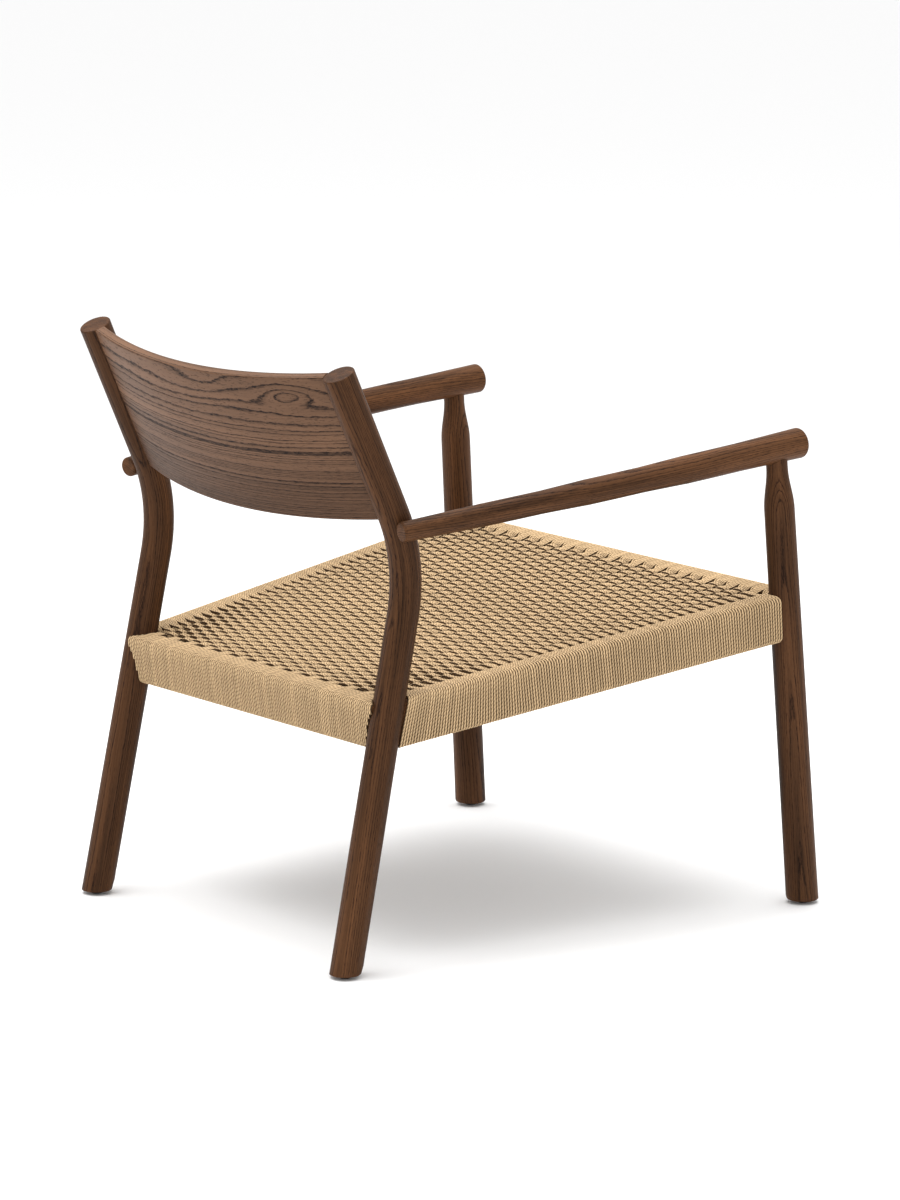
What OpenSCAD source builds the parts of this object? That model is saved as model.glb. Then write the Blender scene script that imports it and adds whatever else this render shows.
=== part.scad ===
// Low armchair: turned hardwood frame, bent back panel and a woven paper-cord seat.
// Millimetres, +Z up. The chair stands on Z = 0 and faces -Y, so the sitter's left is +X.

/* [Overall] */
// Height of the centre of the rear post tops above the floor
back_height = 718; // [680:1:750]
// Distance between the centres of the rear feet
rear_foot_span = 509; // [480:1:540]
// Distance between the centres of the front feet
front_foot_span = 657; // [620:1:690]
// Fore-and-aft distance between the front and rear foot centres
foot_depth = 658; // [620:1:700]

/* [Rear legs] */
// Diameter of a rear leg at the floor
rear_foot_d = 38.6; // [34:0.2:44]
// Diameter through the knee bend
rear_knee_d = 38; // [34:0.2:44]
// Diameter at the top of the post
rear_top_d = 39; // [30:0.2:42]
// Height of the knee, where the two straight parts would meet
knee_height = 487; // [460:1:510]
// Distance of the knee in front of the foot
knee_forward = 106; // [80:1:130]
// Distance of the post top in front of the foot
top_forward = 1.2; // [-20:0.2:30]
// Centre-line radius of the knee bend
knee_bend_r = 200; // [150:5:300]
// Sideways lean of the rear legs towards the middle, in degrees
rear_lean_in = 0.8; // [0:0.1:3]
// Edge rounding of the post tops
post_edge_r = 1.5; // [1:0.5:4]

/* [Front legs] */
// Diameter of a front leg at the floor
front_foot_d = 40.4; // [36:0.2:46]
// Diameter below the neck
front_top_d = 37.6; // [34:0.2:44]
// Diameter of the neck where it meets the arm
neck_d = 26.6; // [18:0.2:30]
// Length of the tapered neck down from the arm's axis
neck_length = 84; // [60:1:110]
// Backward lean of the front legs, in degrees
front_lean_back = 4.04; // [0:0.02:8]
// Inward lean of the front legs, in degrees
front_lean_in = 1.4; // [0:0.1:4]
// Diameter of the round tenon that enters the arm
leg_tenon_d = 15; // [12:0.5:18]
// Edge rounding of all four feet
foot_edge_r = 3; // [1:0.5:6]

/* [Arms] */
// Diameter of an arm at its rear end
arm_rear_d = 24.4; // [20:0.2:30]
// Diameter of an arm at its front end
arm_front_d = 37.6; // [30:0.2:44]
// Half distance between the rear ends of the arms
arm_rear_x = 274.6; // [260:0.2:290]
// Position of the arm's rear end along Y
arm_rear_y = 251; // [230:1:270]
// Height of the arm's rear end
arm_rear_z = 528.6; // [500:0.2:560]
// Half distance between the front ends of the arms
arm_front_x = 312.9; // [300:0.2:330]
// Position of the arm's front end along Y
arm_front_y = -337.4; // [-360:0.2:-310]
// Height of the arm's front end
arm_front_z = 575.9; // [550:0.2:600]
// Outward bow of the arm between its ends
arm_bow = 16; // [0:0.5:25]
// Edge rounding of the arm ends
arm_edge_r = 3; // [1:0.5:6]
// Diameter of the dowel between arm and rear leg
dowel_d = 8; // [6:1:10]
// Length of that dowel
dowel_length = 28; // [20:1:34]

/* [Back panel] */
// Thickness of the bent panel
panel_t = 12.5; // [9:0.5:18]
// Depth of the panel's curve, measured square to its chord
panel_sagitta = 40.5; // [20:0.5:60]
// Distance of the panel's lower edge above the knee, along the post
panel_low = 59; // [40:1:90]
// Distance of the panel's upper edge below the post top
panel_top_drop = 0; // [0:0.5:12]
// Distance of the panel's rear face behind the post axis, at the posts
panel_set_back = 5.8; // [3:0.1:9]
// Edge rounding of the panel
panel_edge_r = 2; // [0.5:0.5:4]
// Thickness of the tongue that enters the posts
tongue_t = 11; // [6:0.5:14]
// Depth of the tongue let into each post
tongue_depth = 9; // [6:1:12]
// Inset of the tongue at the panel's upper and lower edge
tongue_inset = 12; // [6:1:30]

/* [Seat] */
// Position along Y of the seat's rear upper edge
seat_rear_y = 276; // [260:1:290]
// Height of the seat's rear upper edge
seat_rear_z = 323; // [300:1:345]
// Backward slope of the seat, in degrees
seat_slope = 7; // [3:0.1:10]
// Depth of the seat along the slope, over the wrapped rails
seat_depth = 607.5; // [570:0.5:640]
// Width of a rail over its cord
wrap_w = 30; // [26:0.5:36]
// Height of a rail over its cord
wrap_h = 60; // [50:0.5:70]
// Thickness of the cord
cord_d = 3.5; // [3:0.1:4]
// Outer corner radius of the cord wrapping
wrap_r = 8; // [5:0.5:12]
// Distance of the side rails' outer face from the leg axis
side_offset = 14; // [8:0.5:18]
// Distance from a leg axis to the first turn of cord
wrap_start = 14; // [12:0.5:24]
// Thickness of the rail tenons
tenon_t = 10; // [8:0.5:12]
// Height of the rail tenons
tenon_h = 34; // [26:1:44]
// Distance from the leg axis at which a rail tenon ends
tenon_stop = 6.5; // [6:0.5:9]

/* [Cord nails] */
// Wire diameter of an L-shaped cord nail
nail_d = 1.8; // [1.4:0.1:2.4]
// Length of the nail in the wood
nail_in_wood = 9; // [6:1:14]
// Length of the turned-down head
nail_head = 7; // [5:0.5:10]
// Distance of the nails below the seat surface
nail_drop = 22; // [18:1:30]
// Number of nails on each side rail, one for every four cords
side_nail_count = 37; // [20:1:50]
// Spacing of the nails on the side rails
side_nail_pitch = 14.7; // [10:0.1:30]
// Distance from the rear leg axis to the first of them
side_nail_first = 22.6; // [18:0.1:40]
// Number of nails on the front rail and on the rear rail, one for every warp
cross_nail_count = 26; // [15:1:40]
// Spacing of the nails on the front rail
front_nail_pitch = 22.6; // [14:0.1:30]
// Spacing of the nails on the rear rail
rear_nail_pitch = 18; // [14:0.1:30]

/* [Glides] */
// Diameter of a foot glide
glide_d = 14; // [10:0.5:20]
// Height of a glide
glide_h = 4; // [2:0.5:8]
// Diameter of the glide's steel pin
glide_pin_d = 3; // [2:0.2:4]
// Length of the pin above the glide
glide_pin_length = 14; // [8:1:20]

/* [Hidden] */
$fn = 96;
// Assembly clearances
fit_gap = 0.15;
scribe_gap = 0.3;
end_gap = 0.5;
// Moves the feet so that the whole chair is centred on the origin
centring = -9;
// Rear leg
rear_x = rear_foot_span / 2;
rear_y = foot_depth / 2 + centring;
lower_lean = atan2(knee_forward, knee_height);
upper_rake = atan2(knee_forward - top_forward, back_height - knee_height);
knee_angle = lower_lean + upper_rake;
knee_tangent = knee_bend_r * tan(knee_angle / 2);
// The straight parts run a little way into the bend, just under its skin
knee_lap = 1;
knee_step = 0.05;
lower_length = norm([knee_forward, knee_height]) - knee_tangent;
post_length = norm([knee_forward - top_forward, back_height - knee_height]);
upper_length = post_length - knee_tangent;
// Front leg
front_x = front_foot_span / 2;
front_y = -foot_depth / 2 + centring;
// Arm
arm_chord = [
    arm_front_x - arm_rear_x,
    arm_front_y - arm_rear_y,
    arm_front_z - arm_rear_z
];
arm_length = norm(arm_chord);
arm_pitch = acos(arm_chord[2] / arm_length);
arm_yaw = atan2(arm_chord[1], arm_chord[0]);
arm_bow_roll = 9;
arm_parts = 4;
arm_bend_r = 1500;
// Where the leg axis meets the arm axis
arm_on_leg = 575;
// Back panel
panel_u0 = panel_low;
panel_u1 = post_length - panel_top_drop;
panel_half = rear_x - sin(rear_lean_in) * (back_height + knee_height) / 2;
panel_bend_r = (pow(panel_half, 2) + pow(panel_sagitta, 2)) / (2 * panel_sagitta);
// Seat
core_w = wrap_w - 2 * cord_d;
core_h = wrap_h - 2 * cord_d;
core_r = wrap_r - cord_d;
seat_mid = -wrap_h / 2;
rail_mid_drop = wrap_h / 2;
side_in = wrap_w / 2 - side_offset;
// Leg axes at the middle of the rails, in the sloping frame of the seat
rear_axis_x = rear_x - tan(rear_lean_in) * (seat_rear_z - 30);
rear_axis_y = -16;
front_axis_x = front_x - tan(front_lean_in) * 367;
front_axis_y = -589;
side_dx = front_axis_x - rear_axis_x;
side_dy = rear_axis_y - front_axis_y;
side_yaw = atan2(side_dx, side_dy);
side_length = norm([side_dx, side_dy]);
rear_rail_y = -wrap_w / 2;
front_rail_y = -seat_depth + wrap_w / 2;
rear_rail_length = 2 * rear_axis_x;
front_rail_length = 2 * front_axis_x;
weave_t = 6.4;

// ---------- shared shapes ----------

// Turned bar standing on Z = 0, with rounded ends where e0 or e1 is above zero
module turned_bar(len, r0, r1, e0 = 0, e1 = 0) {
    low = e0 > 0 ? [for (a = [0:15:90]) [r0 - e0 + e0 * sin(a), e0 - e0 * cos(a)]] : [[r0, 0]];
    high = e1 > 0 ? [for (a = [0:15:90]) [r1 - e1 + e1 * cos(a), len - e1 + e1 * sin(a)]] : [[r1, len]];
    rotate_extrude()
        polygon(concat([[0, 0]], low, high, [[0, len]]));
}

// Rectangle with rounded corners, centred
module rounded_rect(w, h, r) {
    square([w - 2 * r, h], center = true);
    square([w, h - 2 * r], center = true);
    for (x = [-1, 1])
        for (y = [-1, 1])
            translate([x * (w / 2 - r), y * (h / 2 - r)])
                circle(r = r, $fn = 48);
}

// Level cup with a rounded rim that trims a leaning leg at the floor
module foot_trim(r) {
    translate([0, 0, glide_h])
        rotate_extrude()
            polygon(concat(
                [[0, 0]],
                [for (a = [0:15:90]) [r - foot_edge_r + foot_edge_r * sin(a), foot_edge_r - foot_edge_r * cos(a)]],
                [[r + 260, 900], [0, 900]]
            ));
}

// ---------- rear legs ----------

module rear_leg_place() {
    translate([rear_x, rear_y, 0])
        rotate([0, -rear_lean_in, 0])
            children();
}

// Frame at the knee with Z along the post and Y square to it, rearwards
module post_place() {
    rear_leg_place()
        translate([0, -knee_forward, knee_height])
            rotate([-upper_rake, 0, 0])
                children();
}

module rear_leg_lower(grow = 0) {
    rear_leg_place()
        rotate([lower_lean, 0, 0])
            translate([0, 0, -10])
                cylinder(
                    h = lower_length + 10 + knee_lap,
                    r1 = rear_foot_d / 2 + grow,
                    r2 = rear_knee_d / 2 - knee_step + grow
                );
}

module rear_leg_knee() {
    rear_leg_place()
        rotate([lower_lean, 0, 0])
            translate([0, knee_bend_r, lower_length])
                rotate([90, 0, -90])
                    rotate_extrude(angle = knee_angle)
                        translate([knee_bend_r, 0])
                            circle(d = rear_knee_d);
}

module rear_leg_post() {
    post_place()
        translate([0, 0, knee_tangent - knee_lap])
            turned_bar(upper_length + knee_lap, rear_knee_d / 2 - knee_step, rear_top_d / 2, 0, post_edge_r);
}

// Straight envelope of the post, used to shape what meets it
module post_envelope(grow) {
    post_place()
        translate([0, 0, panel_low - 30])
            cylinder(
                h = post_length - panel_low + 40,
                r1 = rear_knee_d / 2 + grow,
                r2 = rear_top_d / 2 + grow
            );
}

module rear_leg() {
    color("SaddleBrown")
        difference() {
            union() {
                intersection() {
                    rear_leg_lower();
                    translate([rear_x, rear_y, 0])
                        foot_trim(rear_foot_d / 2 + 0.3);
                }
                rear_leg_knee();
                rear_leg_post();
            }
            panel_tongue(fit_gap);
            arm_shape(fit_gap);
            arm_dowel(fit_gap, end_gap);
            side_rail_tenon(fit_gap, end_gap);
            rear_rail_tenon(fit_gap, end_gap);
        }
}

// ---------- front legs ----------

module front_leg_place() {
    translate([front_x, front_y, 0])
        rotate([-front_lean_back, -front_lean_in, 0])
            children();
}

module front_leg_blank(grow = 0) {
    shoulder = arm_on_leg - neck_length;
    dr = (front_top_d - neck_d) / 2;
    neck = [for (i = [0:10]) [
        neck_d / 2 + dr * (1 + cos(18 * i)) / 2 + grow,
        shoulder + 8 + (neck_length - 32) * i / 10
    ]];
    front_leg_place()
        rotate_extrude()
            polygon(concat(
                [[0, -10], [front_foot_d / 2 + grow, -10], [front_top_d / 2 + grow, shoulder]],
                neck,
                [[neck_d / 2 + grow, arm_on_leg], [0, arm_on_leg]]
            ));
}

module front_leg_tenon(grow = 0, tip = 0) {
    front_leg_place()
        translate([0, 0, arm_on_leg - 40])
            cylinder(h = 46 + tip, d = leg_tenon_d + 2 * grow);
}

module front_leg() {
    color("SaddleBrown")
        difference() {
            union() {
                difference() {
                    intersection() {
                        front_leg_blank();
                        translate([front_x, front_y, 0])
                            foot_trim(front_foot_d / 2);
                    }
                    arm_shape(fit_gap);
                }
                front_leg_tenon();
            }
            side_rail_tenon(fit_gap, end_gap);
            front_rail_tenon(fit_gap, end_gap);
        }
}

// ---------- arms ----------

module arm_place() {
    translate([arm_rear_x, arm_rear_y, arm_rear_z])
        rotate([0, arm_pitch, arm_yaw])
            rotate([0, 0, arm_bow_roll])
                children();
}

// Corner points of the bowed centre line, as [outwards, along]
function arm_point(i) = [4 * arm_bow * (i / arm_parts) * (1 - i / arm_parts), arm_length * i / arm_parts];
function arm_radius(i) = (arm_rear_d + (arm_front_d - arm_rear_d) * i / arm_parts) / 2;
// Outward angle of each straight part
function arm_angle(i) =
    let (v = arm_point(i + 1) - arm_point(i))
    atan2(v[0], v[1]);
// Bend at corner i and the length it takes off either side of the corner
function arm_turn(i) = i > 0 && i < arm_parts ? arm_angle(i - 1) - arm_angle(i) : 0;
function arm_tangent(i) = arm_bend_r * tan(arm_turn(i) / 2);

// Straight tapered part; it runs a little way into the bends, just under their skin
module arm_part(i, grow) {
    p = arm_point(i);
    len = norm(arm_point(i + 1) - p);
    lead = i == 0 ? 0 : arm_tangent(i) - knee_lap;
    tail = i == arm_parts - 1 ? 0 : arm_tangent(i + 1) - knee_lap;
    e = grow > 0 ? 0 : arm_edge_r;
    translate([0, p[0], p[1]])
        rotate([-arm_angle(i), 0, 0])
            translate([0, 0, lead])
                turned_bar(
                    len - lead - tail,
                    arm_radius(i) + grow - (i == 0 ? 0 : knee_step),
                    arm_radius(i + 1) + grow - (i == arm_parts - 1 ? 0 : knee_step),
                    i == 0 ? e : 0,
                    i == arm_parts - 1 ? e : 0
                );
}

module arm_bend(i, grow) {
    a = arm_angle(i - 1);
    c = arm_point(i) - arm_tangent(i) * [sin(a), cos(a)] + arm_bend_r * [-cos(a), sin(a)];
    translate([0, c[0], c[1]])
        rotate([90, 0, 90])
            rotate([0, 0, -a])
                rotate_extrude(angle = arm_turn(i), $fn = 720)
                    translate([arm_bend_r, 0])
                        circle(r = arm_radius(i) + grow, $fn = 96);
}

module arm_shape(grow = 0) {
    arm_place()
        union() {
            for (i = [0:arm_parts - 1])
                arm_part(i, grow);
            for (i = [1:arm_parts - 1])
                arm_bend(i, grow);
        }
}

// Dowel square to the arm, between the post and the arm
module arm_dowel(grow = 0, tip = 0) {
    dowel_y = rear_y - knee_forward + 21.5;
    dowel_z = arm_rear_z + 1.2;
    translate([arm_rear_x - dowel_length / 2 - 7 - tip, dowel_y, dowel_z])
        rotate([0, 90, 0])
            cylinder(h = dowel_length + 2 * tip, d = dowel_d + 2 * grow);
}

module armrest() {
    color("SaddleBrown")
        difference() {
            arm_shape();
            front_leg_tenon(fit_gap, end_gap);
            arm_dowel(fit_gap, end_gap);
        }
}

// ---------- back panel ----------

// Corner points of a rectangle with softened corners, standing on the origin
function soft_corners(w, h, r) = [
    for (c = [[r, r, 180], [w - r, r, 270], [w - r, h - r, 0], [r, h - r, 90]])
        for (k = [0:30:90])
            [c[0] + r * cos(c[2] + k), c[1] + r * sin(c[2] + k)]
];

// Curved band between two heights along the posts, symmetrical about X = 0.
// reach is how far short of the post axes its ends stop.
module panel_band(u0, u1, t, reach, soften) {
    half_angle = asin((panel_half - reach) / panel_bend_r);
    translate([0, rear_y - knee_forward, knee_height])
        rotate([-upper_rake, 0, 0])
            translate([0, panel_set_back + panel_sagitta - panel_bend_r, u0])
                rotate([0, 0, 90 - half_angle])
                    rotate_extrude(angle = 2 * half_angle, $fn = 360)
                        translate([panel_bend_r - panel_t / 2 - t / 2, 0])
                            if (soften)
                                polygon(soft_corners(t, u1 - u0, panel_edge_r));
                            else
                                square([t, u1 - u0]);
}

module panel_tongue(grow = 0) {
    panel_band(
        panel_u0 + tongue_inset - grow,
        panel_u1 - tongue_inset + grow,
        tongue_t + 2 * grow,
        rear_top_d / 2 - tongue_depth - 2 * grow,
        false
    );
}

module back_panel() {
    color("Sienna")
        union() {
            difference() {
                panel_band(panel_u0, panel_u1, panel_t, 6, true);
                post_envelope(fit_gap);
                mirror([1, 0, 0])
                    post_envelope(fit_gap);
            }
            panel_tongue();
        }
}

// ---------- seat rails ----------

module seat_place() {
    translate([0, seat_rear_y, seat_rear_z])
        rotate([-seat_slope, 0, 0])
            children();
}

// Frame of a side rail: X runs along the rail from the rear leg axis to the front one
module side_rail_place() {
    seat_place()
        translate([rear_axis_x, rear_axis_y, seat_mid])
            rotate([0, 0, -90 + side_yaw])
                translate([0, -side_in, 0])
                    children();
}

module rear_rail_place() {
    seat_place()
        translate([0, rear_rail_y, seat_mid])
            children();
}

module front_rail_place() {
    seat_place()
        translate([0, front_rail_y, seat_mid])
            children();
}

module rail_bar(x0, x1) {
    translate([x0, 0, 0])
        rotate([90, 0, 90])
            linear_extrude(height = x1 - x0)
                rounded_rect(core_w, core_h, core_r);
}

module tenon_bar(x0, x1, grow) {
    translate([x0, -tenon_t / 2 - grow, -tenon_h / 2 - grow])
        cube([x1 - x0, tenon_t + 2 * grow, tenon_h + 2 * grow]);
}

module side_rail_tenon(grow = 0, tip = 0) {
    side_rail_place()
        tenon_bar(tenon_stop - tip, side_length - tenon_stop + tip, grow);
}

module rear_rail_tenon(grow = 0, tip = 0) {
    half = rear_rail_length / 2 - tenon_stop + tip;
    rear_rail_place()
        tenon_bar(-half, half, grow);
}

module front_rail_tenon(grow = 0, tip = 0) {
    half = front_rail_length / 2 - tenon_stop + tip;
    front_rail_place()
        tenon_bar(-half, half, grow);
}

module side_rail() {
    color("BurlyWood")
        union() {
            difference() {
                side_rail_place()
                    rail_bar(4, side_length - 4);
                rear_leg_lower(fit_gap);
                front_leg_blank(fit_gap);
            }
            side_rail_tenon();
        }
}

module rear_rail() {
    color("BurlyWood")
        union() {
            difference() {
                rear_rail_place()
                    rail_bar(-rear_rail_length / 2 + 4, rear_rail_length / 2 - 4);
                rear_leg_lower(fit_gap);
                mirror([1, 0, 0])
                    rear_leg_lower(fit_gap);
            }
            rear_rail_tenon();
        }
}

module front_rail() {
    color("BurlyWood")
        union() {
            difference() {
                front_rail_place()
                    rail_bar(-front_rail_length / 2 + 4, front_rail_length / 2 - 4);
                front_leg_blank(fit_gap);
                mirror([1, 0, 0])
                    front_leg_blank(fit_gap);
            }
            front_rail_tenon();
        }
}

// ---------- cord ----------

// Cord round a rail: top, outer face, bottom and the inner face up to the nails.
// inner is the side of the rail that faces the seat, +1 or -1 along the rail's Y.
module cord_sleeve(x0, x1, inner) {
    open_h = nail_drop + nail_d / 2 + 0.6 - cord_d;
    translate([x0, 0, 0])
        rotate([90, 0, 90])
            linear_extrude(height = x1 - x0)
                difference() {
                    rounded_rect(wrap_w, wrap_h, wrap_r);
                    rounded_rect(core_w + 0.1, core_h + 0.1, core_r);
                    translate([inner * wrap_w / 2, wrap_h / 2 - cord_d - open_h / 2])
                        square([wrap_w, open_h], center = true);
                }
}

module cord_wrap_side() {
    color("Wheat")
        difference() {
            side_rail_place()
                cord_sleeve(wrap_start, side_length - wrap_start, -1);
            rear_leg_lower(scribe_gap);
            front_leg_blank(scribe_gap);
        }
}

module cord_wrap_rear() {
    color("Wheat")
        difference() {
            rear_rail_place()
                cord_sleeve(-rear_rail_length / 2 + wrap_start, rear_rail_length / 2 - wrap_start, -1);
            rear_leg_lower(scribe_gap);
            mirror([1, 0, 0])
                rear_leg_lower(scribe_gap);
        }
}

module cord_wrap_front() {
    color("Wheat")
        difference() {
            front_rail_place()
                cord_sleeve(-front_rail_length / 2 + wrap_start, front_rail_length / 2 - wrap_start, 1);
            front_leg_blank(scribe_gap);
            mirror([1, 0, 0])
                front_leg_blank(scribe_gap);
        }
}

// Woven field between the rails
module seat_weave() {
    y0 = rear_rail_y - wrap_w / 2 - scribe_gap;
    y1 = front_rail_y + wrap_w / 2 + scribe_gap;
    side_inner = (wrap_w - side_offset + scribe_gap) / cos(side_yaw);
    x0 = rear_axis_x + (rear_axis_y - y0) * tan(side_yaw) - side_inner;
    x1 = rear_axis_x + (rear_axis_y - y1) * tan(side_yaw) - side_inner;
    color("Wheat")
        seat_place()
            translate([0, 0, -weave_t - 0.3])
                linear_extrude(height = weave_t)
                    polygon([[-x0, y0], [x0, y0], [x1, y1], [-x1, y1]]);
}

// L-shaped nail in the inner face of a rail, its head turned down over the cord
module cord_nail(inner) {
    out = cord_d + nail_d / 2 + 0.3;
    translate([0, inner * core_w / 2, wrap_h / 2 - nail_drop])
        rotate([inner > 0 ? -90 : 90, 0, 0])
            translate([0, 0, -nail_in_wood])
                cylinder(h = nail_in_wood + out, d = nail_d, $fn = 24);
    translate([0, inner * (core_w / 2 + out), wrap_h / 2 - nail_drop - nail_head])
        cylinder(h = nail_head + nail_d, d = nail_d + 0.4, $fn = 24);
}

module cord_nails_side() {
    color("Silver")
        side_rail_place()
            for (i = [0:side_nail_count - 1])
                translate([side_nail_first + i * side_nail_pitch, 0, 0])
                    cord_nail(-1);
}

module cross_nails(pitch, inner) {
    for (i = [0:cross_nail_count - 1])
        translate([(i - (cross_nail_count - 1) / 2) * pitch, 0, 0])
            cord_nail(inner);
}

module cord_nails_rear() {
    color("Silver")
        rear_rail_place()
            cross_nails(rear_nail_pitch, -1);
}

module cord_nails_front() {
    color("Silver")
        front_rail_place()
            cross_nails(front_nail_pitch, 1);
}

// ---------- glides ----------

module glide(x, y) {
    color("DimGray")
        translate([x, y, 0])
            difference() {
                turned_bar(glide_h - 0.05, glide_d / 2, glide_d / 2 - 0.4, 1, 0);
                translate([0, 0, 1.5])
                    cylinder(h = glide_h, d = glide_pin_d + 0.1, $fn = 32);
            }
}

module glide_pin(x, y) {
    translate([x, y, 1.55])
        cylinder(h = glide_h - 1.55 + glide_pin_length, d = glide_pin_d, $fn = 32);
}

module glide_pins() {
    color("Silver")
        for (s = [-1, 1]) {
            glide_pin(s * rear_x, rear_y);
            glide_pin(s * front_x, front_y);
        }
}

module arm_dowels() {
    color("Tan")
        for (s = [0, 1])
            mirror([s, 0, 0])
                arm_dowel();
}

// ---------- assembly ----------

rear_leg();  // rear_leg_left
mirror([1, 0, 0]) rear_leg();  // rear_leg_right
front_leg();  // front_leg_left
mirror([1, 0, 0]) front_leg();  // front_leg_right
armrest();  // armrest_left
mirror([1, 0, 0]) armrest();  // armrest_right
back_panel();
front_rail();  // seat_rail_front
rear_rail();  // seat_rail_rear
side_rail();  // seat_rail_left
mirror([1, 0, 0]) side_rail();  // seat_rail_right
cord_wrap_front();
cord_wrap_rear();
cord_wrap_side();  // cord_wrap_left
mirror([1, 0, 0]) cord_wrap_side();  // cord_wrap_right
seat_weave();
cord_nails_front();
cord_nails_rear();
cord_nails_side();  // cord_nails_left
mirror([1, 0, 0]) cord_nails_side();  // cord_nails_right
glide(front_x, front_y);  // glide_front_left
mirror([1, 0, 0]) glide(front_x, front_y);  // glide_front_right
glide(rear_x, rear_y);  // glide_rear_left
mirror([1, 0, 0]) glide(rear_x, rear_y);  // glide_rear_right
glide_pins();
arm_dowels();
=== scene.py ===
"""Low armchair: dark stained ring-porous hardwood and a woven paper-cord seat.

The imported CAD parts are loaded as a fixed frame. This file dresses them in wood,
steel and plastic, lays every cord of the seat, and sets up the studio.
"""
import math
import random
from collections import namedtuple

import bpy
from bpy.props import FloatProperty, FloatVectorProperty, IntProperty, PointerProperty
from mathutils import Matrix, Vector


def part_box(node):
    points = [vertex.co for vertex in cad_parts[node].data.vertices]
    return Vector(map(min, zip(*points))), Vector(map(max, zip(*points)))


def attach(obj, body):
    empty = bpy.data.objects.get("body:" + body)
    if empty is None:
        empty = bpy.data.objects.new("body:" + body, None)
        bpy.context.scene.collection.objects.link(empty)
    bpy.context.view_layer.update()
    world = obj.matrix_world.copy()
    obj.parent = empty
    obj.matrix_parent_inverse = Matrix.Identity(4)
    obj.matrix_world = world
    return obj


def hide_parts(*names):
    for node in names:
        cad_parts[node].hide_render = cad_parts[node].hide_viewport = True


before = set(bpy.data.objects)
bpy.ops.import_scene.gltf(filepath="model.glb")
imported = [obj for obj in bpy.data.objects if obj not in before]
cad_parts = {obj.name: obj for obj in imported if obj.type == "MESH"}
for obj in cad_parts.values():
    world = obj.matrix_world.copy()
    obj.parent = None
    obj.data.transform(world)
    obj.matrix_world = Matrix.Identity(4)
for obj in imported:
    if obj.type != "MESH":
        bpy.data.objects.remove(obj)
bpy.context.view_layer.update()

bl_info = {
    "name": "Woven Cord Armchair",
    "version": (1, 0, 0),
    "blender": (4, 5, 0),
    "location": "View3D > Sidebar > Armchair",
    "description": "Dresses the armchair's CAD parts and weaves its seat",
    "category": "Object",
}

BODY = "root"


# ---------- sizes and finishes ----------


def distance(name, description, default, digits=4):
    """A length in metres."""
    return FloatProperty(
        name=name, description=description, default=default,
        subtype="DISTANCE", unit="LENGTH", precision=digits)


def angle(name, description, degrees):
    return FloatProperty(
        name=name, description=description, default=math.radians(degrees),
        subtype="ANGLE", unit="ROTATION")


def colour(name, description, default):
    return FloatVectorProperty(
        name=name, description=description, default=default, subtype="COLOR", size=3, min=0, max=1)


class FrameSizes(bpy.types.PropertyGroup):
    """Sizes of the wooden frame that its grain follows, the same as the CAD part's"""

    knee_z: distance("Knee height", "Height of the bend in a rear leg", 0.487)
    knee_forward: distance("Knee forward", "Distance of the knee in front of the foot", 0.106)
    leg_slope: FloatProperty(
        name="Leg slope", description="Run along Y for each rise below the knee", default=-0.2177)
    slope_change: FloatProperty(
        name="Slope change", description="How much that slope changes at the knee", default=0.6714)
    leg_lean: FloatProperty(
        name="Leg lean", description="Run towards the middle for each rise", default=0.0140)
    front_top_in: distance("Front top in", "Inward lean of a front leg, foot to top", 0.0141)
    front_top_back: distance("Front top back", "Backward lean of a front leg, foot to top", 0.0407)
    front_top_z: distance("Front top height", "Height of a front leg's top", 0.576)
    rail_rear_half: distance(
        "Rail rear half width", "Distance of a side rail's rear end from the middle", 0.2509)
    arm_rear_half: distance("Arm rear half width", "Distance of an arm's rear end from the middle", 0.2746)
    arm_front_half: distance("Arm front half width", "Distance of an arm's front end from the middle", 0.3129)
    panel_half: distance("Panel half width", "Half the chord of the bent panel", 0.2461)
    panel_sagitta: distance("Panel sagitta", "Depth of the panel's curve", 0.0405)
    panel_set_back: distance("Panel set back", "Distance of the panel's ends behind the post axis", 0.0058)
    panel_rake: angle("Panel rake", "Backward lean of the panel", 24.40)
    panel_low: distance("Panel lower edge", "Distance of the lower edge above the knee", 0.059)
    panel_high: distance("Panel upper edge", "Distance of the upper edge above the knee", 0.2537)


class SeatSizes(bpy.types.PropertyGroup):
    """Sizes of the corded seat, the same as the CAD part's"""

    slope: angle("Slope", "Backward slope of the seat", 7)
    rear_y: distance("Rear edge", "Place of the rear upper edge along Y", 0.276)
    rear_z: distance("Rear height", "Height of the rear upper edge", 0.323)
    depth: distance("Depth", "Depth of the seat along its slope", 0.6075)
    rail_width: distance("Rail width", "Width of a rail over its cord", 0.030)
    rail_height: distance("Rail height", "Height of a rail over its cord", 0.060)
    rail_corner: distance("Rail corner", "Corner radius of a rail over its cord", 0.008)
    rear_half: distance("Rear half width", "Distance of a rear leg's axis from the middle", 0.2504)
    front_half: distance("Front half width", "Distance of a front leg's axis from the middle", 0.3195)
    side_inset: distance("Side rail inset", "Distance of a side rail inside the line of the legs", 0.001)
    nail_drop: distance("Nail drop", "Distance of the cord nails below the seat", 0.022)


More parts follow.
